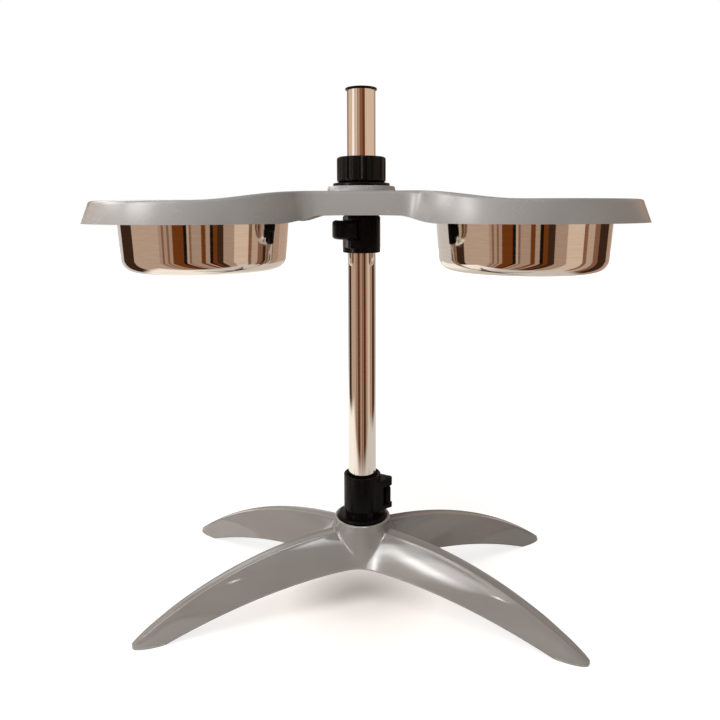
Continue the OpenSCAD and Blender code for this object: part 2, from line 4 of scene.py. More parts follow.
import bmesh
import bpy
import numpy as np
from mathutils import Matrix, Quaternion, Vector


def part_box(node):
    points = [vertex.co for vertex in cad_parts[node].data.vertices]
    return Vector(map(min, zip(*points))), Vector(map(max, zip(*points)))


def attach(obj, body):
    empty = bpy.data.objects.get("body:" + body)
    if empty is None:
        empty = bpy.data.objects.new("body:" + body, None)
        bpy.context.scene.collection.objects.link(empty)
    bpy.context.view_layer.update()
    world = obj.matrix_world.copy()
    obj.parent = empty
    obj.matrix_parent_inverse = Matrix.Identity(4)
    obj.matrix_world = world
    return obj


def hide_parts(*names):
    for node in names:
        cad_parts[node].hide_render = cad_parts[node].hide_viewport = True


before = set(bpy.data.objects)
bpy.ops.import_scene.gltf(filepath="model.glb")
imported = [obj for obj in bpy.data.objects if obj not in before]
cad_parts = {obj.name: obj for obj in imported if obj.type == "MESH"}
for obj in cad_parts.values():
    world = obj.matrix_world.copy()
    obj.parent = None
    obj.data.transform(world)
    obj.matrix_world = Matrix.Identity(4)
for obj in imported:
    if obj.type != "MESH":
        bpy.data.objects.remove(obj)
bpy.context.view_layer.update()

# Sizes taken from the frame
TUBE_LOW, TUBE_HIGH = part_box("post_tube")
CAP_LOW, CAP_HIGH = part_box("post_cap")
TRAY_NUT_LOW, TRAY_NUT_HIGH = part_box("tray_nut")
BASE_NUT_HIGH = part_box("base_nut")[1]
TRAY_WASHER_LOW, TRAY_WASHER_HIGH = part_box("tray_washer")
BASE_WASHER_LOW, BASE_WASHER_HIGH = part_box("base_washer")
BOWL_LOW, BOWL_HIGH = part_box("bowl_right")
TUBE_R = TUBE_HIGH.x
CAP_R = CAP_HIGH.x
NUT_R = TRAY_NUT_HIGH.x
NUT_H = TRAY_NUT_HIGH.z - TRAY_NUT_LOW.z
TRAY_WASHER_R = TRAY_WASHER_HIGH.x
BASE_WASHER_R = BASE_WASHER_HIGH.x
BOWL_X = (BOWL_LOW.x + BOWL_HIGH.x) / 2
BOWL_RIM_R = (BOWL_HIGH.x - BOWL_LOW.x) / 2
BOWL_RIM_Z = BOWL_HIGH.z
BOWL_FLOOR_Z = BOWL_LOW.z

# Sizes shared with the solids
TUBE_WALL = 0.0015
TUBE_BORE_R = TUBE_R - TUBE_WALL
CAP_WALL = 0.0020
SPIGOT_R = 0.0190
THREAD_GAP = 0.0001
THREAD_BORE_R = SPIGOT_R + THREAD_GAP
WASHER_GAP = 0.0003
WASHER_BORE_R = SPIGOT_R + WASHER_GAP
WASHER_RIM_T = 0.0030
LIP_GAP = 0.0009
NUT_LIP = 0.0030
FLUTES = 14
FLUTE_R = 0.0034
FLUTE_DEPTH = 0.0015
FLUTE_FOOT = 0.0035
BOWL_TOP_R = 0.0836
BOWL_LOW_R = 0.0804
BOWL_CORNER = 0.0130
BOWL_BEND = 0.0030
BOWL_WALL = 0.0009
ROLL_R = 0.0020

# Base moulding
LEG_REACH = 0.226
LEG_ANGLE = math.radians(28)
CREST_H = 0.0665
TIP_H = 0.0036
CREST_W = 0.0095
LEG_ROOT_W = 0.032
FOOT_W = 0.008
FOOT_LEN = 0.026
ARCH_H = 0.041
BASE_WALL = 0.003
HUB_R = 0.0275
DECK_Z = 0.075
DECK_T = 0.008
RIM_H = 0.0024
HUB_LIP = 0.0007
FLANGE_R = 0.0248
FLANGE_GAP = 0.00025
PAD_PROUD = 0.0006
LEAN = 0.6
BELLY = 2.2
PROW = 0.97
CONE_RUN = 0.0085
CONE_BOW = 0.8
FILLET = 0.0063
CREST_INSET = 0.45
HUB_SPREAD = 0.026
HOLLOW_END = 0.0028
SIDE_SOFT = 0.004
LONG_SOFT = 0.010
FOOT_R = LEG_REACH - FOOT_LEN

# Fine forms of the meshes
BEAD_H = 0.0007
BEAD_W = 0.0011
CREST_ROUND = 0.0008
LIP_H = 0.0011
LIP_OUT = 0.0006
TUBE_ROUND = 0.0003
CAP_TOP_ROUND = 0.0008
CAP_EDGE_ROUND = 0.0004
NUT_FOOT_ROUND = 0.0008
NUT_TOP_ROUND = 0.0025
NUT_CHAMFER = 0.0006
FLUTE_SOFT = 0.0004
WASHER_SLOPE = 0.0006
WASHER_STEP = 0.0020

# Steps round a turned piece
FINE_TURN = 256
TURN = 160
COARSE_TURN = 128


# Node trees

# Most of the noise lies between these
NOISE_LOW = 0.3
NOISE_HIGH = 0.7


def link(tree, source, target):
    tree.links.new(source, target)


def new_material(name):
    material = bpy.data.materials.new(name)
    material.use_nodes = True
    tree = material.node_tree
    return material, tree, tree.nodes["Principled BSDF"]


def bare_material(name):
    """Material with nothing but the socket for its surface."""
    material = bpy.data.materials.new(name)
    material.use_nodes = True
    tree = material.node_tree
    tree.nodes.clear()
    return material, tree, tree.nodes.new("ShaderNodeOutputMaterial").inputs["Surface"]


def noise(tree, scale, detail=3.0, stretch=(1, 1, 1)):
    where = tree.nodes.new("ShaderNodeTexCoord")
    mapping = tree.nodes.new("ShaderNodeMapping")
    mapping.inputs["Scale"].default_value = stretch
    texture = tree.nodes.new("ShaderNodeTexNoise")
    texture.inputs["Scale"].default_value = scale
    texture.inputs["Detail"].default_value = detail
    link(tree, where.outputs["Object"], mapping.inputs["Vector"])
    link(tree, mapping.outputs["Vector"], texture.inputs["Vector"])
    return texture.outputs["Fac"]


def ranged(tree, value, source, target=(0, 1), curve="LINEAR"):
    node = tree.nodes.new("ShaderNodeMapRange")
    node.interpolation_type = curve
    for socket, limit in zip(("From Min", "From Max", "To Min", "To Max"), (*source, *target)):
        node.inputs[socket].default_value = limit
    link(tree, value, node.inputs["Value"])
    return node.outputs["Result"]


def spread(tree, value, low, high):
    return ranged(tree, value, (NOISE_LOW, NOISE_HIGH), (low, high))


def fade(tree, value, limits):
    return ranged(tree, value, limits, curve="SMOOTHSTEP")


def ramp(tree, value, *stops):
    node = tree.nodes.new("ShaderNodeValToRGB")
    while len(node.color_ramp.elements) < len(stops):
        node.color_ramp.elements.new(0.5)
    for element, (place, colour) in zip(node.color_ramp.elements, stops):
        element.position = place
        element.color = (*colour, 1)
    link(tree, value, node.inputs["Fac"])
    return node.outputs["Color"]


def tones(tree, value, low, high):
    return ramp(tree, value, (NOISE_LOW, low), (NOISE_HIGH, high))


def levels(tree, value, stops):
    return ramp(tree, value, *[(place, (level, level, level)) for place, level in stops])


def bump(tree, shader, height, strength, distance):
    node = tree.nodes.new("ShaderNodeBump")
    node.inputs["Strength"].default_value = strength
    node.inputs["Distance"].default_value = distance
    link(tree, height, node.inputs["Height"])
    link(tree, node.outputs["Normal"], shader.inputs["Normal"])


def combine(tree, operation, first, second):
    node = tree.nodes.new("ShaderNodeMath")
    node.operation = operation
    for socket, value in zip(node.inputs, (first, second)):
        if isinstance(value, (int, float)):
            socket.default_value = value
        else:
            link(tree, value, socket)
    return node.outputs["Value"]


def blend(tree, share, first, second):
    mix = tree.nodes.new("ShaderNodeMix")
    mix.data_type = "RGBA"
    link(tree, share, mix.inputs["Factor"])
    for socket, colour in ((mix.inputs["A"], first), (mix.inputs["B"], second)):
        if isinstance(colour, tuple):
            socket.default_value = (*colour, 1)
        else:
            link(tree, colour, socket)
    return mix.outputs["Result"]


def blend_shaders(tree, share, first, second):
    mix = tree.nodes.new("ShaderNodeMixShader")
    for socket, source in zip(mix.inputs, (share, first, second)):
        link(tree, source, socket)
    return mix.outputs["Shader"]


def position(tree, kind="Object"):
    """A point's coordinates on its own object, together and by axis."""
    where = tree.nodes.new("ShaderNodeTexCoord")
    axes = tree.nodes.new("ShaderNodeSeparateXYZ")
    link(tree, where.outputs[kind], axes.inputs["Vector"])
    return where.outputs[kind], axes.outputs


# Materials

def grey_moulding(name, low, high, rough):
    material, tree, shader = new_material(name)
    link(tree, tones(tree, noise(tree, scale=9), low, high), shader.inputs["Base Color"])
    cloud = noise(tree, scale=60)
    link(tree, spread(tree, cloud, rough * 0.8, rough * 1.2), shader.inputs["Roughness"])
    bump(tree, shader, noise(tree, scale=900, detail=2), strength=0.05, distance=0.0002)
    shader.inputs["Specular IOR Level"].default_value = 0.6
    shader.inputs["Coat Weight"].default_value = 0.25
    shader.inputs["Coat Roughness"].default_value = rough
    return material


def black_plastic(name, rough, gloss):
    material, tree, shader = new_material(name)
    grain = noise(tree, scale=1800, detail=2)
    colour = tones(tree, noise(tree, scale=40), (0.002, 0.002, 0.002), (0.0035, 0.003, 0.003))
    link(tree, colour, shader.inputs["Base Color"])
    link(tree, spread(tree, grain, rough * 0.85, rough * 1.15), shader.inputs["Roughness"])
    bump(tree, shader, grain, strength=0.12, distance=0.0001)
    shader.inputs["Specular IOR Level"].default_value = gloss
    return material


def polished(name, low, high, rough, streaks):
    material, tree, shader = new_material(name)
    drawn = noise(tree, scale=60, detail=4, stretch=streaks)
    link(tree, tones(tree, drawn, low, high), shader.inputs["Base Color"])
    link(tree, spread(tree, drawn, rough * 0.7, rough * 1.4), shader.inputs["Roughness"])
    bump(tree, shader, drawn, strength=0.015, distance=0.0001)
    shader.inputs["Metallic"].default_value = 1.0
    return material


def soft_rubber(name, low, high):
    material, tree, shader = new_material(name)
    grain = noise(tree, scale=2500, detail=2)
    link(tree, tones(tree, grain, low, high), shader.inputs["Base Color"])
    link(tree, spread(tree, grain, 0.65, 0.85), shader.inputs["Roughness"])
    bump(tree, shader, grain, strength=0.2, distance=0.0001)
    return material


BASE_GREY = grey_moulding("base_grey", (0.203, 0.189, 0.176), (0.227, 0.212, 0.198), rough=0.06)
TRAY_GREY = grey_moulding("tray_grey", (0.218, 0.209, 0.203), (0.243, 0.233, 0.226), rough=0.24)
BLACK = black_plastic("black_plastic", rough=0.26, gloss=0.08)
NUT_BLACK = black_plastic("nut_black", rough=0.18, gloss=0.16)
CHROME = polished(
    "chrome_plate", (0.78, 0.75, 0.71), (0.84, 0.81, 0.77), rough=0.05, streaks=(6, 6, 0.1))
STEEL = polished(
    "polished_steel", (0.74, 0.70, 0.66), (0.80, 0.77, 0.73), rough=0.05, streaks=(1, 1, 12))
PIN_STEEL = polished(
    "pin_steel", (0.030, 0.029, 0.028), (0.045, 0.043, 0.042), rough=0.35, streaks=(1, 1, 8))
RUBBER = soft_rubber("soft_rubber", (0.018, 0.018, 0.018), (0.03, 0.03, 0.03))


# Mesh tools

SAME_POINT = 1e-7
ON_AXIS = 1e-9
WELD = 1e-5
BEVEL_STEPS = 3
BEVEL_ANGLE = math.radians(40)
SHADE_ANGLE = math.radians(38)


def place(thing):
    bpy.context.scene.collection.objects.link(thing)
    return thing


def finish_mesh(bm, name, material, sharp=35):
    bmesh.ops.remove_doubles(bm, verts=bm.verts, dist=SAME_POINT)
    bmesh.ops.recalc_face_normals(bm, faces=bm.faces)
    mesh = bpy.data.meshes.new(name)
    bm.to_mesh(mesh)
    bm.free()
    mesh.shade_smooth()
    mesh.set_sharp_from_angle(angle=math.radians(sharp))
    mesh.materials.append(material)
    return place(bpy.data.objects.new(name, mesh))


def rectangle(name, wide, high, material):
    """Flat panel, wide and high to each side of its middle."""
    corners = [(-wide, -high, 0), (wide, -high, 0), (wide, high, 0), (-wide, high, 0)]
    mesh = bpy.data.meshes.new(name)
    mesh.from_pydata(corners, [], [(0, 1, 2, 3)])
    mesh.materials.append(material)
    return place(bpy.data.objects.new(name, mesh))


def arc(centre, radius, start, end, steps):
    angles = np.radians(np.linspace(start, end, steps + 1))
    return [(centre[0] + radius * math.cos(a), centre[1] + radius * math.sin(a)) for a in angles]


def rounded(corners, steps=5):
    """Closed outline from (x, y, radius) corners, each rounded off."""
    points = []
    count = len(corners)
    for i, (x, y, radius) in enumerate(corners):
        here = Vector((x, y))
        if radius <= 0:
            points.append((x, y))
            continue
        back = (Vector(corners[i - 1][:2]) - here).normalized()
        on = (Vector(corners[(i + 1) % count][:2]) - here).normalized()
        half = back.angle(on) / 2
        cut = radius / math.tan(half)
        middle = here + (back + on).normalized() * (radius / math.sin(half))
        first = here + back * cut - middle
        last = here + on * cut - middle
        turn = first.angle_signed(last)
        for k in range(steps + 1):
            a = -turn * k / steps
            points.append((
                middle.x + first.x * math.cos(a) - first.y * math.sin(a),
                middle.y + first.x * math.sin(a) + first.y * math.cos(a)))
    return points


def ring(bm, r, z, steps, at=(0, 0)):
    angles = [2 * math.pi * k / steps for k in range(steps)]
    return [bm.verts.new((at[0] + r * math.cos(a), at[1] + r * math.sin(a), z)) for a in angles]


def bridge(bm, low, high):
    """Faces between two closed rings, where a ring may be one point over and over."""
    for k in range(len(low)):
        n = (k + 1) % len(low)
        corners = list(dict.fromkeys((low[k], low[n], high[n], high[k])))
        if len(corners) > 2:
            bm.faces.new(corners)


def lathe(name, outline, material, steps=TURN, closed=True, at=(0, 0), sharp=35):
    """Turns an (r, z) outline about the post's axis, or about a parallel one."""
    bm = bmesh.new()
    rings = []
    for r, z in outline:
        if r < ON_AXIS:
            rings.append([bm.verts.new((*at, z))] * steps)
        else:
            rings.append(ring(bm, r, z, steps, at))
    for low, high in zip(rings, rings[1:]):
        bridge(bm, low, high)
    if closed:
        bridge(bm, rings[-1], rings[0])
    return finish_mesh(bm, name, material, sharp)


def shade_group():
    """Smooth shading with crisp edges, as a modifier, so that the solids' meshes stay as they are."""
    group = bpy.data.node_groups.new("soft_shade", "GeometryNodeTree")
    group.interface.new_socket("Geometry", in_out="INPUT", socket_type="NodeSocketGeometry")
    group.interface.new_socket("Geometry", in_out="OUTPUT", socket_type="NodeSocketGeometry")
    start = group.nodes.new("NodeGroupInput")
    end = group.nodes.new("NodeGroupOutput")
    faces = group.nodes.new("GeometryNodeSetShadeSmooth")
    faces.domain = "FACE"
    edges = group.nodes.new("GeometryNodeSetShadeSmooth")
    edges.domain = "EDGE"
    angle = group.nodes.new("GeometryNodeInputMeshEdgeAngle")
    below = group.nodes.new("FunctionNodeCompare")
    below.data_type = "FLOAT"
    below.operation = "LESS_THAN"
    below.inputs["B"].default_value = SHADE_ANGLE
    link(group, start.outputs["Geometry"], faces.inputs["Geometry"])
    link(group, faces.outputs["Geometry"], edges.inputs["Geometry"])
    link(group, angle.outputs["Unsigned Angle"], below.inputs["A"])
    link(group, below.outputs["Result"], edges.inputs["Shade Smooth"])
    link(group, edges.outputs["Geometry"], end.inputs["Geometry"])
    return group


SOFT_SHADE = shade_group()


def dress(node, material, bevel=0.0):
    """Gives a solid its finish, with its sharp edges broken by a small bevel."""
    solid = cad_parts[node]
    solid.data.materials.clear()
    solid.data.materials.append(material)
    weld = solid.modifiers.new("weld", "WELD")
    weld.merge_threshold = WELD
    if bevel:
        edge = solid.modifiers.new("edge", "BEVEL")
        edge.width = bevel
        edge.segments = BEVEL_STEPS
        edge.limit_method = "ANGLE"
        edge.angle_limit = BEVEL_ANGLE
        edge.use_clamp_overlap = True
    shade = solid.modifiers.new("shade", "NODES")
    shade.node_group = SOFT_SHADE
    return solid


def stand_in(piece, node, body):
    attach(piece, body)
    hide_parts(node)
    return piece


# Base moulding: the same height formulas as the solid, on a finer grid

LEG_N = 60
HUB_N = 22
SIDE_N = 26
RIM_N = 10
# Rows crowd towards the crest by this power
SIDE_CROWD = 1.4
CREST_STEPS = (0.04, 0.08, 0.13, 0.19, 0.28, 0.5, 0.72, 0.81, 0.87, 0.92, 0.96)
# The rolled edge along a foot, as shares of LIP_OUT outwards and of LIP_H down
LIP_SHAPE = ((0.5, 0.05), (0.85, 0.2), (1.0, 0.5), (1.0, 1.0))
LEG_DROP = CREST_H - TIP_H
LEG_RUN = LEG_REACH - HUB_R
LEG_ARC_R = (LEG_RUN ** 2 + LEG_DROP ** 2) / (2 * LEG_DROP)
RIM_OUT = HUB_R + HUB_LIP
RIM_IN = FLANGE_R + FLANGE_GAP
RIM_ROUND = (RIM_OUT - RIM_IN) / 2
QUARTER = math.pi / 2
# Each gap between two legs: its direction, the angle to the legs beside it, and how soft its fold is
GAPS = (
    (0, LEG_ANGLE, SIDE_SOFT),
    (QUARTER, QUARTER - LEG_ANGLE, LONG_SOFT),
    (2 * QUARTER, LEG_ANGLE, SIDE_SOFT),
    (3 * QUARTER, QUARTER - LEG_ANGLE, LONG_SOFT))


def crest_z(r):
    return CREST_H - LEG_ARC_R + math.sqrt(LEG_ARC_R ** 2 - max(r - HUB_R, 0) ** 2)


def edge_z(r):
    return max(PAD_PROUD, ARCH_H * (1 - (r / FOOT_R) ** 2))


def half_w(r):
    if r < FOOT_R:
        return LEG_ROOT_W - (LEG_ROOT_W - FOOT_W) * r / FOOT_R
    return FOOT_W * math.sqrt(1 - PROW * ((r - FOOT_R) / FOOT_LEN) ** 2)


def band(r, e):
    return min(CREST_W / 2, half_w(r) / 2) - CREST_INSET * e


def side_z(r, l, e):
    """Height of a leg's skin r along it and l to its side, on the skin e below the outer one."""
    top = crest_z(r) - e
    flat = band(r, e)
    out = max(l - flat, 0)
    full = half_w(r) - e - flat
    low = edge_z(r)
    bead = 0
    if e == 0:
        out, full = (math.hypot(x, CREST_ROUND) - CREST_ROUND for x in (out, full))
        low += LIP_H
        bead = BEAD_H * math.exp(-((l - flat) / BEAD_W) ** 2)
    t = out / full
    return top - (top - low) * (LEAN * t + (1 - LEAN) * t ** BELLY) + bead


def cone_z(d, e):
    return DECK_Z - e - (DECK_Z - ARCH_H) * (max(d - HUB_R + e, 0) / CONE_RUN) ** CONE_BOW


def soft_max(a, b, k):
    h = max(k - abs(a - b), 0) / k
    return max(a, b) + h * h * k / 4


def soft_min(a, b, k):
    return -soft_max(-a, -b, k)


def gap_z(p, q, g, s, e):
    m = math.hypot(q, s)
    r = p * math.cos(g) + m * math.sin(g)
    l = p * math.sin(g) - m * math.cos(g)
    return soft_max(side_z(r, l, e), cone_z(math.hypot(p, q), e), FILLET)


def gap_point(r, l, g, s):
    off = r * math.sin(g) - l * math.cos(g)
    return np.array([r * math.cos(g) + l * math.sin(g), math.sqrt(max(off * off - s * s, 0))])


def half_gap(g, s, e):
    """Upper and lower points in plan, from a leg's tip to the middle of a gap."""
    tip = FOOT_R + HOLLOW_END if e else LEG_REACH
    taper = (LEG_ROOT_W - FOOT_W) / FOOT_R
    start = (s + (LEG_ROOT_W - e) * math.cos(g)) / (math.sin(g) + taper * math.cos(g))
    near = start + HUB_SPREAD
    hub = RIM_OUT - e
    first = math.sqrt(hub ** 2 - band(HUB_R, e) ** 2)
    inner = gap_point(first, band(first, e), g, s)
    turn = math.atan2(inner[1], inner[0])
    lines = []
    for i in range(LEG_N + 1):
        t = (1 - math.cos(math.pi * i / LEG_N)) / 2
        ru = tip + (first - tip) * t
        rb = tip + (near - tip) * t
        lines.append((gap_point(ru, band(ru, e), g, s), gap_point(rb, half_w(rb) - e, g, s)))
    for i in range(1, HUB_N + 1):
        a = turn * (1 - i / HUB_N)
        rb = near + (start - near) * i / HUB_N
        up = hub * np.array([math.cos(a), math.sin(a)])
        lines.append((up, gap_point(rb, half_w(rb) - e, g, s)))
    return lines


def turned(p, q, turn):
    return p * math.cos(turn) - q * math.sin(turn), p * math.sin(turn) + q * math.cos(turn)


def lip(up, low, turn, z):
    """Small rounded edge along the foot of a side."""
    out = (low - up) / np.linalg.norm(low - up)
    return [(*turned(*(low + out * LIP_OUT * a), turn), z - LIP_H * b) for a, b in LIP_SHAPE]


def gap_columns(turn, g, s, e):
    half = half_gap(g, s, e)
    flip = np.array([1, -1])
    lines = [(up * flip, low * flip) for up, low in half] + half[-2::-1]
    columns = []
    for up, low in lines:
        column = []
        for k in range(SIDE_N + 1):
            p, q = up + (low - up) * (k / SIDE_N) ** SIDE_CROWD
            column.append((*turned(p, q, turn), gap_z(p, q, g, s, e)))
        if e == 0:
            column += lip(up, low, turn, column[-1][2])
        columns.append(column)
    return columns


def crest_row(leg, i, left, right, e):
    """Points across a crest, between the upper points of the two sides at step i from the tip."""
    along = np.array([math.cos(leg), math.sin(leg)])
    row = []
    for f in CREST_STEPS:
        p = left + (right - left) * f
        if i == LEG_N:
            p = p * (np.linalg.norm(left) / np.linalg.norm(p))
        r = float(p @ along)
        off = abs(float(p[0] * along[1] - p[1] * along[0]))
        z = soft_max(side_z(r, off, e), cone_z(float(np.linalg.norm(p)), e), FILLET)
        row.append((*p, z))
    return row


def base_skin(bm, e):
    """One skin of the moulding: its columns of points, and its ring of points round the hub."""
    columns = [column for gap in GAPS for column in gap_columns(*gap, e)]
    skin = [[bm.verts.new(p) for p in column] for column in columns]
    count = len(skin)
    gap_count = count // len(GAPS)
    crests = []
    for g, (turn, angle, _) in enumerate(GAPS):
        end = (g + 1) * gap_count
        rows = []
        for i in range(LEG_N + 1):
            first = skin[end - 1 - i][0]
            last = skin[(end + i) % count][0]
            ends = [np.array(vert.co[:2]) for vert in (first, last)]
            across = [bm.verts.new(p) for p in crest_row(turn + angle, i, *ends, e)]
            rows.append([first, *across, last])
        crests.append(rows)
        for near, far in zip(rows[1:], rows):
            for k in range(len(near) - 1):
                bm.faces.new((near[k], near[k + 1], far[k + 1], far[k]))
    for c in range(count):
        a, b = skin[c], skin[(c + 1) % count]
        over_tip = c % gap_count == gap_count - 1
        for k in range(len(a) - 1):
            top = crests[c // gap_count][0] if over_tip and k == 0 else [a[k], b[k]]
            bm.faces.new([*top, b[k + 1], a[k + 1]])
    hub = []
    for g, rows in enumerate(crests):
        hub += [skin[g * gap_count + i][0] for i in range(LEG_N, gap_count - LEG_N)]
        hub += rows[-1][1:-1]
    return skin, hub


def base_piece():
    bm = bmesh.new()
    outer, outer_hub = base_skin(bm, 0)
    inner, inner_hub = base_skin(bm, BASE_WALL)
    bridge(bm, [column[-1] for column in outer], [column[-1] for column in inner])
    # Rim, deck and bore of the hub, from the outer skin's ring over the rim to the inner skin's ring
    under = DECK_Z - DECK_T
    profile = arc((RIM_IN + RIM_ROUND, DECK_Z + RIM_H - RIM_ROUND), RIM_ROUND, 0, 180, RIM_N)
    profile += [(RIM_IN, DECK_Z), (THREAD_BORE_R, DECK_Z)]
    profile += [(THREAD_BORE_R, under), (RIM_OUT - BASE_WALL, under)]
    angles = [math.atan2(vert.co.y, vert.co.x) for vert in outer_hub]
    rows = [outer_hub]
    for r, z in profile:
        rows.append([bm.verts.new((r * math.cos(a), r * math.sin(a), z)) for a in angles])
    rows.append(inner_hub)
    for low, high in zip(rows, rows[1:]):
        bridge(bm, low, high)
    return finish_mesh(bm, "base_moulding", BASE_GREY, sharp=42)


# Bowls

CORNER_N = 24
BEND_N = 8
ROLL_N = 28


def bowl_piece(side, name):
    corner = (BOWL_LOW_R - BOWL_CORNER, BOWL_FLOOR_Z + BOWL_CORNER)
    bend = (BOWL_TOP_R + BOWL_BEND, BOWL_RIM_Z - BOWL_BEND)
    roll = (BOWL_RIM_R - ROLL_R, BOWL_RIM_Z - ROLL_R)
    under = math.degrees(math.asin((ROLL_R - BOWL_WALL) / ROLL_R))
    outline = [(0, BOWL_FLOOR_Z)]
    outline += arc(corner, BOWL_CORNER, -90, 0, CORNER_N)
    outline += arc(bend, BOWL_BEND - BOWL_WALL, 180, 90, BEND_N)
    outline += arc(roll, ROLL_R, -180 - under, 90, ROLL_N)
    outline += arc(bend, BOWL_BEND, 90, 180, BEND_N)
    outline += arc(corner, BOWL_CORNER - BOWL_WALL, 0, -90, CORNER_N)
    outline += [(0, BOWL_FLOOR_Z + BOWL_WALL)]
    return lathe(name, outline, STEEL, FINE_TURN, closed=False, at=(side * BOWL_X, 0), sharp=50)


# Post

def tube_piece():
    outline = rounded([
        (TUBE_BORE_R, TUBE_LOW.z, TUBE_ROUND), (TUBE_R, TUBE_LOW.z, TUBE_ROUND),
        (TUBE_R, TUBE_HIGH.z, TUBE_ROUND), (TUBE_BORE_R, TUBE_HIGH.z, TUBE_ROUND)], steps=3)
    return lathe("chrome_post", outline, CHROME)


def cap_piece():
    seat = TUBE_HIGH.z
    hollow = TUBE_BORE_R - CAP_WALL
    outline = rounded([
        (0, CAP_HIGH.z, 0), (CAP_R, CAP_HIGH.z, CAP_TOP_ROUND), (CAP_R, seat, CAP_EDGE_ROUND),
        (TUBE_BORE_R, seat, 0), (TUBE_BORE_R, CAP_LOW.z, CAP_TOP_ROUND), (hollow, CAP_LOW.z, 0),
        (hollow, seat, 0), (0, seat, 0)], steps=6)
    return lathe("top_cap", outline, BLACK, COARSE_TURN, closed=False)


# Nuts and washers

FLUTE_N = 28
NUT_FOOT_N = 4
NUT_TOP_N = 8
NUT_WALL_N = 30
# The rows on a nut's wall start this far above its foot and end this far below its top
NUT_WALL_FOOT = 0.0012
NUT_WALL_TOP = 0.0026


def nut_profile(z):
    """Outer radius of the plain nut at height z above its thrust face."""
    foot, top = NUT_FOOT_ROUND, NUT_TOP_ROUND
    if z < foot:
        return NUT_R - foot + math.sqrt(max(foot ** 2 - (foot - z) ** 2, 0))
    if z > NUT_H - top:
        return NUT_R - top + math.sqrt(max(top ** 2 - (z - NUT_H + top) ** 2, 0))
    return NUT_R


def fluted(z, angle):
    """Outer radius of the nut with its flutes."""
    plain = nut_profile(z)
    reach = FLUTE_R ** 2 - max(FLUTE_FOOT - z, 0) ** 2
    if reach <= 0:
        return plain
    flute_at = NUT_R + FLUTE_R - FLUTE_DEPTH
    pitch = 2 * math.pi / FLUTES
    off = (angle % pitch) - pitch / 2
    across = reach - (flute_at * math.sin(off)) ** 2
    if across <= 0:
        return plain
    return soft_min(plain, flute_at * math.cos(off) - math.sqrt(across), FLUTE_SOFT)


def nut_piece(name, low, up):
    """Fluted nut. up is 1 with its thrust face down, -1 turned over."""
    steps = FLUTES * FLUTE_N
    lip_r = TUBE_R + LIP_GAP
    lip_z = NUT_H - NUT_LIP
    heights = [NUT_FOOT_ROUND * (1 - math.cos(QUARTER * k / NUT_FOOT_N)) for k in range(NUT_FOOT_N + 1)]
    heights += list(np.linspace(NUT_WALL_FOOT, NUT_H - NUT_WALL_TOP, NUT_WALL_N))
    heights += [
        NUT_H - NUT_TOP_ROUND + NUT_TOP_ROUND * math.sin(QUARTER * k / NUT_TOP_N)
        for k in range(NUT_TOP_N + 1)]
    bm = bmesh.new()
    rings = []
    for z in heights:
        verts = []
        for k in range(steps):
            a = 2 * math.pi * k / steps
            r = fluted(z, a)
            verts.append(bm.verts.new((r * math.cos(a), r * math.sin(a), low + up * z)))
        rings.append(verts)
    bore = [
        (lip_r + NUT_CHAMFER, NUT_H), (lip_r, NUT_H - NUT_CHAMFER), (lip_r, lip_z),
        (THREAD_BORE_R, lip_z), (THREAD_BORE_R, NUT_CHAMFER), (THREAD_BORE_R + NUT_CHAMFER, 0)]
    rings += [ring(bm, r, low + up * z, steps) for r, z in bore]
    for a, b in zip(rings, rings[1:] + rings[:1]):
        bridge(bm, a, b)
    return finish_mesh(bm, name, NUT_BLACK, sharp=40)


def tray_washer_piece():
    low, high = TRAY_WASHER_LOW.z, TRAY_WASHER_HIGH.z
    rim = low + WASHER_RIM_T
    outline = rounded([
        (WASHER_BORE_R, low, 0), (TRAY_WASHER_R, low, 0.0008), (TRAY_WASHER_R, rim, 0.0012),
        (NUT_R, rim + WASHER_SLOPE, 0.001), (NUT_R - WASHER_STEP, high, 0.0004),
        (WASHER_BORE_R, high, 0)])
    return lathe("tray_flange_washer", outline, NUT_BLACK, COARSE_TURN)


def base_washer_piece():
    low, high = BASE_WASHER_LOW.z, BASE_WASHER_HIGH.z
    outline = rounded([
        (WASHER_BORE_R, low, 0.0003), (BASE_WASHER_R, low, 0.0005),
        (BASE_WASHER_R, high, 0.0005), (WASHER_BORE_R, high, 0.0003)])
    return lathe("base_flat_washer", outline, BLACK, COARSE_TURN)


BASE = stand_in(base_piece(), "base", "base")
BOWLS = [
    stand_in(bowl_piece(-1, "steel_bowl_left"), "bowl_left", "bowl_left"),
    stand_in(bowl_piece(1, "steel_bowl_right"), "bowl_right", "bowl_right")]
stand_in(tube_piece(), "post_tube", "post")
stand_in(cap_piece(), "post_cap", "post")
TRAY_NUT = nut_piece("tray_fluted_nut", TRAY_NUT_LOW.z, 1)
BASE_NUT = nut_piece("base_fluted_nut", BASE_NUT_HIGH.z, -1)
BLACKS = [
    stand_in(TRAY_NUT, "tray_nut", "tray_nut"),
    stand_in(BASE_NUT, "base_nut", "base_nut"),
    stand_in(tray_washer_piece(), "tray_washer", "tray_washer"),
    stand_in(base_washer_piece(), "base_washer", "base_washer")]

TRAY = dress("tray", TRAY_GREY, bevel=0.0004)
for end in ("base", "tray"):
    BLACKS.append(dress(end + "_collar", BLACK, bevel=0.0006))
    dress(end + "_lever", BLACK, bevel=0.0006)
    dress(end + "_lever_pin", PIN_STEEL, bevel=0.0002)
    dress(end + "_shoe", BLACK, bevel=0.0003)
dress("post_plug", BLACK)
for corner in ("front_left", "front_right", "back_left", "back_right"):
    dress("foot_pad_" + corner, RUBBER)


# Studio: pale floor, soft lamps, and the room and windows that only reflections see

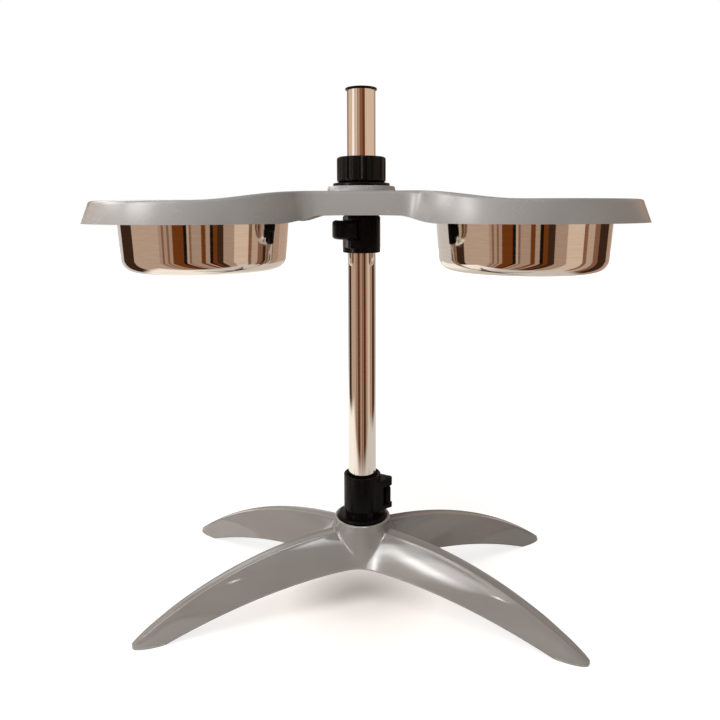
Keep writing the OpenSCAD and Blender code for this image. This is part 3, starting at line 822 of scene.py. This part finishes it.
# Panels of a warm room, each with where it starts, in degrees right of the front
WHITE = (1, 1, 1)
BRIGHT = (1.2, 1.05, 0.96)
CREAM = (0.85, 0.72, 0.62)
PLASTER = (0.68, 0.62, 0.57)
BEIGE = (0.55, 0.39, 0.29)
TAN = (0.44, 0.30, 0.22)
SAND = (0.74, 0.56, 0.42)
OCHRE = (0.17, 0.045, 0.008)
BROWN = (0.26, 0.12, 0.07)
DARK = (0.05, 0.022, 0.012)
BLACK_GAP = (0.008, 0.005, 0.004)
ROOM_LOW = [
    (-180, PLASTER), (-122, DARK), (-92, BEIGE), (-50, TAN), (-46, BROWN), (-43, TAN), (-38, BROWN),
    (-36, TAN), (-31, OCHRE), (-18, BLACK_GAP), (-14, BEIGE), (-11, BROWN), (-8, TAN), (5, OCHRE),
    (10, TAN), (16, BLACK_GAP), (20, OCHRE), (26, DARK), (34, TAN), (50, SAND), (72, BROWN),
    (78, BEIGE), (89, BROWN), (99, DARK), (122, TAN), (138, BEIGE)]
ROOM_HIGH = [
    (-180, CREAM), (-150, BROWN), (-125, SAND), (-75, BRIGHT), (-56, BEIGE), (-47, SAND), (-29, BROWN),
    (-22, BEIGE), (-12, BROWN), (12, OCHRE), (33, SAND), (130, TAN)]
ROOM_R = 1.6
ROOM_H = 1.3
ROOM_N = 180
# Heights between which the lower panels give way to the upper ones
ROOM_CHANGE = (0.40, 0.55)

FLOOR_REACH = 6.0
FLOOR_TONE = (0.95, 0.90, 0.86)
FLOOR_GLOW = 1.25
SHADOW_MIDDLE = (0, -0.025, 0)
# By the distance from the shadow's middle: how plain white the floor is, lower towards the middle,
# which paints shade there besides the real shadow, and the warm tint of painted shadow on its white
# glow
FLOOR_PLAIN_AND_PAINTED_SHADE = ((0.02, 0.18), (0.075, 0.63), (0.26, 0.64), (0.5, 1.0))
PAINTED_SHADOW_TINT = ((0.05, (1.0, 0.92, 0.86)), (0.16, WHITE))
# In reflections the floor is pale inside these edges, and further out it shows the lower panels. Its
# pale part is painted lit on the left and painted shade on the right, where the stand's shadow falls
PALE_LEFT = (-0.44, -0.56)
PALE_RIGHT = (0.36, 0.48)
PALE_FRONT = (-0.16, -0.27)
PAINTED_SHADE_EDGE = (-0.22, 0.02)
PAINTED_LIT_TONE = (1.15, 1.05, 0.95)
PAINTED_SHADE_TONE = (0.72, 0.65, 0.58)

SKY = (1.0, 0.985, 0.965)
SKY_STRENGTH = 0.40
CEILING = (0.30, 0.27, 0.24)

# Lamps and windows stand round this point. Both tables start with the degrees right of the front,
# the degrees up, the metres away, and the width and height.
STAND_MIDDLE = Vector((0, 0, 0.2))

# The last number is the power in watts
LAMPS = {
    "key": (-42, 48, 1.5, (0.75, 0.8), 15),
    "side": (-88, 27, 1.5, (0.7, 0.4), 2.5),
    "top": (20, 80, 1.6, (1.2, 1.2), 4),
    "front": (8, 10, 1.4, (0.8, 0.4), 0.4),
    "left": (-40, 12, 0.75, (0.3, 0.3), 1.3)}

# Brightness along a window: one that fades to nothing at both ends, and the key window's two
SOFT = ((0.0, 0), (0.3, 0.9), (0.5, 1.0), (0.7, 0.9), (1.0, 0))
KEY_ACROSS = ((0.0, 0), (0.15, 0.4), (0.3, 0.5), (0.4, 0.9), (0.55, 0.8), (0.7, 0))
KEY_RISE = ((0.45, 0), (0.5, 0.05), (0.54, 0.95), (0.57, 0.9), (0.61, 0.4), (0.75, 0.25), (0.85, 0))
KEY_ROLL = -62.3

# Then the strength and the pieces that mirror the window
WINDOWS = {
    "key_window": (-32.7, 22.6, 1.5, (2.8, 1.0), 17, [BASE], KEY_ACROSS, KEY_RISE, KEY_ROLL),
    "left_window": (-55, 35, 1.0, (0.45, 0.4), 7, [BASE, TRAY, *BLACKS]),
    "side_window": (-88, 31, 1.5, (0.80, 0.5), 6, [TRAY]),
    "back_window": (-130, 40, 1.5, (1.3, 1.1), 3, [BASE, TRAY]),
    "top_window": (0, 80, 1.5, (1.5, 1.3), 10, [TRAY, *BLACKS]),
    "crest_window": (0, 80, 1.5, (1.5, 1.3), 12, [BASE]),
    "left_glint": (13, 17, 1.5, (0.05, 0.12), 14, [BASE]),
    "right_glint": (-18, 8, 1.5, (0.05, 0.12), 14, [BASE]),
    "bowl_window": (160, 72, 1.5, (2.4, 1.6), 0.9, BOWLS),
    "clamp_window": (-55, 0, 0.6, (0.12, 0.8), 14, BLACKS)}


def front_angle(tree, axes):
    """Share of a full turn at a point, from straight behind by way of the front."""
    towards = combine(tree, "MULTIPLY", axes["Y"], -1)
    angle = combine(tree, "ARCTAN2", axes["X"], towards)
    return ranged(tree, angle, (-math.pi, math.pi))


def panels(tree, share, sides):
    colours = ramp(tree, share, *[((start + 180) / 360, colour) for start, colour in sides])
    colours.node.color_ramp.interpolation = "CONSTANT"
    return colours


def only_mirrored(panel):
    panel.visible_camera = False
    panel.visible_diffuse = False
    panel.visible_shadow = False
    panel.visible_transmission = False


def room():
    material, tree, surface = bare_material("room_panels")
    axes = position(tree)[1]
    share = front_angle(tree, axes)
    low, high = panels(tree, share, ROOM_LOW), panels(tree, share, ROOM_HIGH)
    glow = tree.nodes.new("ShaderNodeEmission")
    link(tree, blend(tree, fade(tree, axes["Z"], ROOM_CHANGE), low, high), glow.inputs["Color"])
    link(tree, glow.outputs["Emission"], surface)
    bm = bmesh.new()
    bridge(bm, ring(bm, ROOM_R, 0, ROOM_N), ring(bm, ROOM_R, ROOM_H, ROOM_N))
    only_mirrored(finish_mesh(bm, "room", material))


def floor():
    """Pale floor, shadowed near the stand, with painted warm shade towards its middle, and plain white
    further out.
    """
    material, tree, surface = bare_material("pale_floor")
    path = tree.nodes.new("ShaderNodeLightPath")
    point, axes = position(tree)
    away = tree.nodes.new("ShaderNodeVectorMath")
    away.operation = "DISTANCE"
    away.inputs[1].default_value = SHADOW_MIDDLE
    link(tree, point, away.inputs[0])
    matt = tree.nodes.new("ShaderNodeBsdfDiffuse")
    matt.inputs["Color"].default_value = (*FLOOR_TONE, 1)
    white = tree.nodes.new("ShaderNodeEmission")
    # Painted warm shadow: the white glow is tinted warm towards the shadow's middle
    link(tree, ramp(tree, away.outputs["Value"], *PAINTED_SHADOW_TINT), white.inputs["Color"])
    white.inputs["Strength"].default_value = FLOOR_GLOW
    across = combine(
        tree, "MAXIMUM", fade(tree, axes["X"], PALE_RIGHT), fade(tree, axes["X"], PALE_LEFT))
    edge = combine(tree, "MAXIMUM", across, fade(tree, axes["Y"], PALE_FRONT))
    # Painted reflection of light and shade: in reflections the floor's near part is lit on the left and
    # shaded on the right
    near = blend(tree, fade(tree, axes["X"], PAINTED_SHADE_EDGE), PAINTED_LIT_TONE, PAINTED_SHADE_TONE)
    far = panels(tree, front_angle(tree, axes), ROOM_LOW)
    mirrored = tree.nodes.new("ShaderNodeEmission")
    link(tree, blend(tree, edge, near, far), mirrored.inputs["Color"])
    # Less white glow towards the shadow's middle: painted shade on top of the real shadow
    plain = levels(tree, away.outputs["Value"], FLOOR_PLAIN_AND_PAINTED_SHADE)
    seen = combine(tree, "MULTIPLY", plain, path.outputs["Is Camera Ray"])
    shown = blend_shaders(tree, seen, matt.outputs["BSDF"], white.outputs["Emission"])
    both = blend_shaders(tree, path.outputs["Is Glossy Ray"], shown, mirrored.outputs["Emission"])
    link(tree, both, surface)
    rectangle("floor", FLOOR_REACH, FLOOR_REACH, material)


def aim(thing, azimuth, elevation, distance, roll=0):
    """Puts a thing round the stand's middle and turns it inwards."""
    a, e = math.radians(azimuth), math.radians(elevation)
    back = Vector((math.sin(a) * math.cos(e), -math.cos(a) * math.cos(e), math.sin(e)))
    thing.location = STAND_MIDDLE + back * distance
    inwards = (-back).to_track_quat("-Z", "Y") @ Quaternion((0, 0, 1), math.radians(roll))
    thing.rotation_euler = inwards.to_euler()


def lamp(name, azimuth, elevation, distance, size, power):
    """Soft box that lights the stand and isn't mirrored in it."""
    data = bpy.data.lights.new(name, "AREA")
    data.shape = "RECTANGLE"
    data.size, data.size_y = size
    data.energy = power
    light = place(bpy.data.objects.new(name, data))
    light.visible_glossy = False
    aim(light, azimuth, elevation, distance)


def window(name, azimuth, elevation, distance, size, strength, pieces, across=SOFT, rise=SOFT, roll=0):
    """Bright panel that only reflections in the given pieces see.

    across and rise are its brightness from side to side and from bottom to top."""
    material, tree, surface = bare_material(name)
    axes = position(tree, "Generated")[1]
    both = combine(tree, "MULTIPLY", levels(tree, axes["X"], across), levels(tree, axes["Y"], rise))
    glow = tree.nodes.new("ShaderNodeEmission")
    link(tree, combine(tree, "MULTIPLY", both, strength), glow.inputs["Strength"])
    behind = tree.nodes.new("ShaderNodeBsdfTransparent")
    clear = tree.nodes.new("ShaderNodeAddShader")
    link(tree, glow.outputs["Emission"], clear.inputs[0])
    link(tree, behind.outputs["BSDF"], clear.inputs[1])
    link(tree, clear.outputs["Shader"], surface)
    panel = rectangle(name, size[0] / 2, size[1] / 2, material)
    aim(panel, azimuth, elevation, distance, roll)
    only_mirrored(panel)
    lit = bpy.data.collections.new(name + "_lit")
    for piece in pieces:
        lit.objects.link(piece)
    panel.light_linking.receiver_collection = lit


def background(tree, colour, strength=1.0):
    node = tree.nodes.new("ShaderNodeBackground")
    node.inputs["Color"].default_value = (*colour, 1)
    node.inputs["Strength"].default_value = strength
    return node.outputs["Background"]


def studio():
    world = bpy.data.worlds.new("studio")
    world.use_nodes = True
    tree = world.node_tree
    tree.nodes.clear()
    path = tree.nodes.new("ShaderNodeLightPath")
    out = tree.nodes.new("ShaderNodeOutputWorld")
    sky = background(tree, SKY, SKY_STRENGTH)
    seen = blend_shaders(tree, path.outputs["Is Camera Ray"], sky, background(tree, WHITE))
    mirrored = blend_shaders(tree, path.outputs["Is Glossy Ray"], seen, background(tree, CEILING))
    link(tree, mirrored, out.inputs["Surface"])
    bpy.context.scene.world = world
    floor()
    room()
    for name, setting in LAMPS.items():
        lamp(name, *setting)
    for name, setting in WINDOWS.items():
        window(name, *setting)


# Camera, fitted to the photograph's 720 x 720 frame
CAMERA_AZIMUTH = math.radians(3.2)
CAMERA_DISTANCE = 0.6371
CAMERA_HEIGHT = 0.3883
CAMERA_HEADING = math.radians(0.144)
CAMERA_PITCH = math.radians(4.475)
CAMERA_ROLL = math.radians(0.188)
SENSOR_MM = 36
FOCAL_PIXELS = 642.9
FRAME_PIXELS = 720
AXIS_PIXEL_Y = 260.1
NEAR_CLIP = 0.05


def camera():
    data = bpy.data.cameras.new("camera")
    data.sensor_width = SENSOR_MM
    data.lens = SENSOR_MM * FOCAL_PIXELS / FRAME_PIXELS
    data.shift_y = (AXIS_PIXEL_Y - FRAME_PIXELS / 2) / FRAME_PIXELS
    data.clip_start = NEAR_CLIP
    x = CAMERA_DISTANCE * math.sin(CAMERA_AZIMUTH)
    y = -CAMERA_DISTANCE * math.cos(CAMERA_AZIMUTH)
    eye = place(bpy.data.objects.new("camera", data))
    eye.matrix_world = (
        Matrix.Translation((x, y, CAMERA_HEIGHT))
        @ Matrix.Rotation(CAMERA_AZIMUTH + CAMERA_HEADING, 4, "Z")
        @ Matrix.Rotation(QUARTER - CAMERA_PITCH, 4, "X")
        @ Matrix.Rotation(-CAMERA_ROLL, 4, "Z"))
    bpy.context.scene.camera = eye


studio()
camera()
bpy.context.scene.view_settings.view_transform = "Standard"
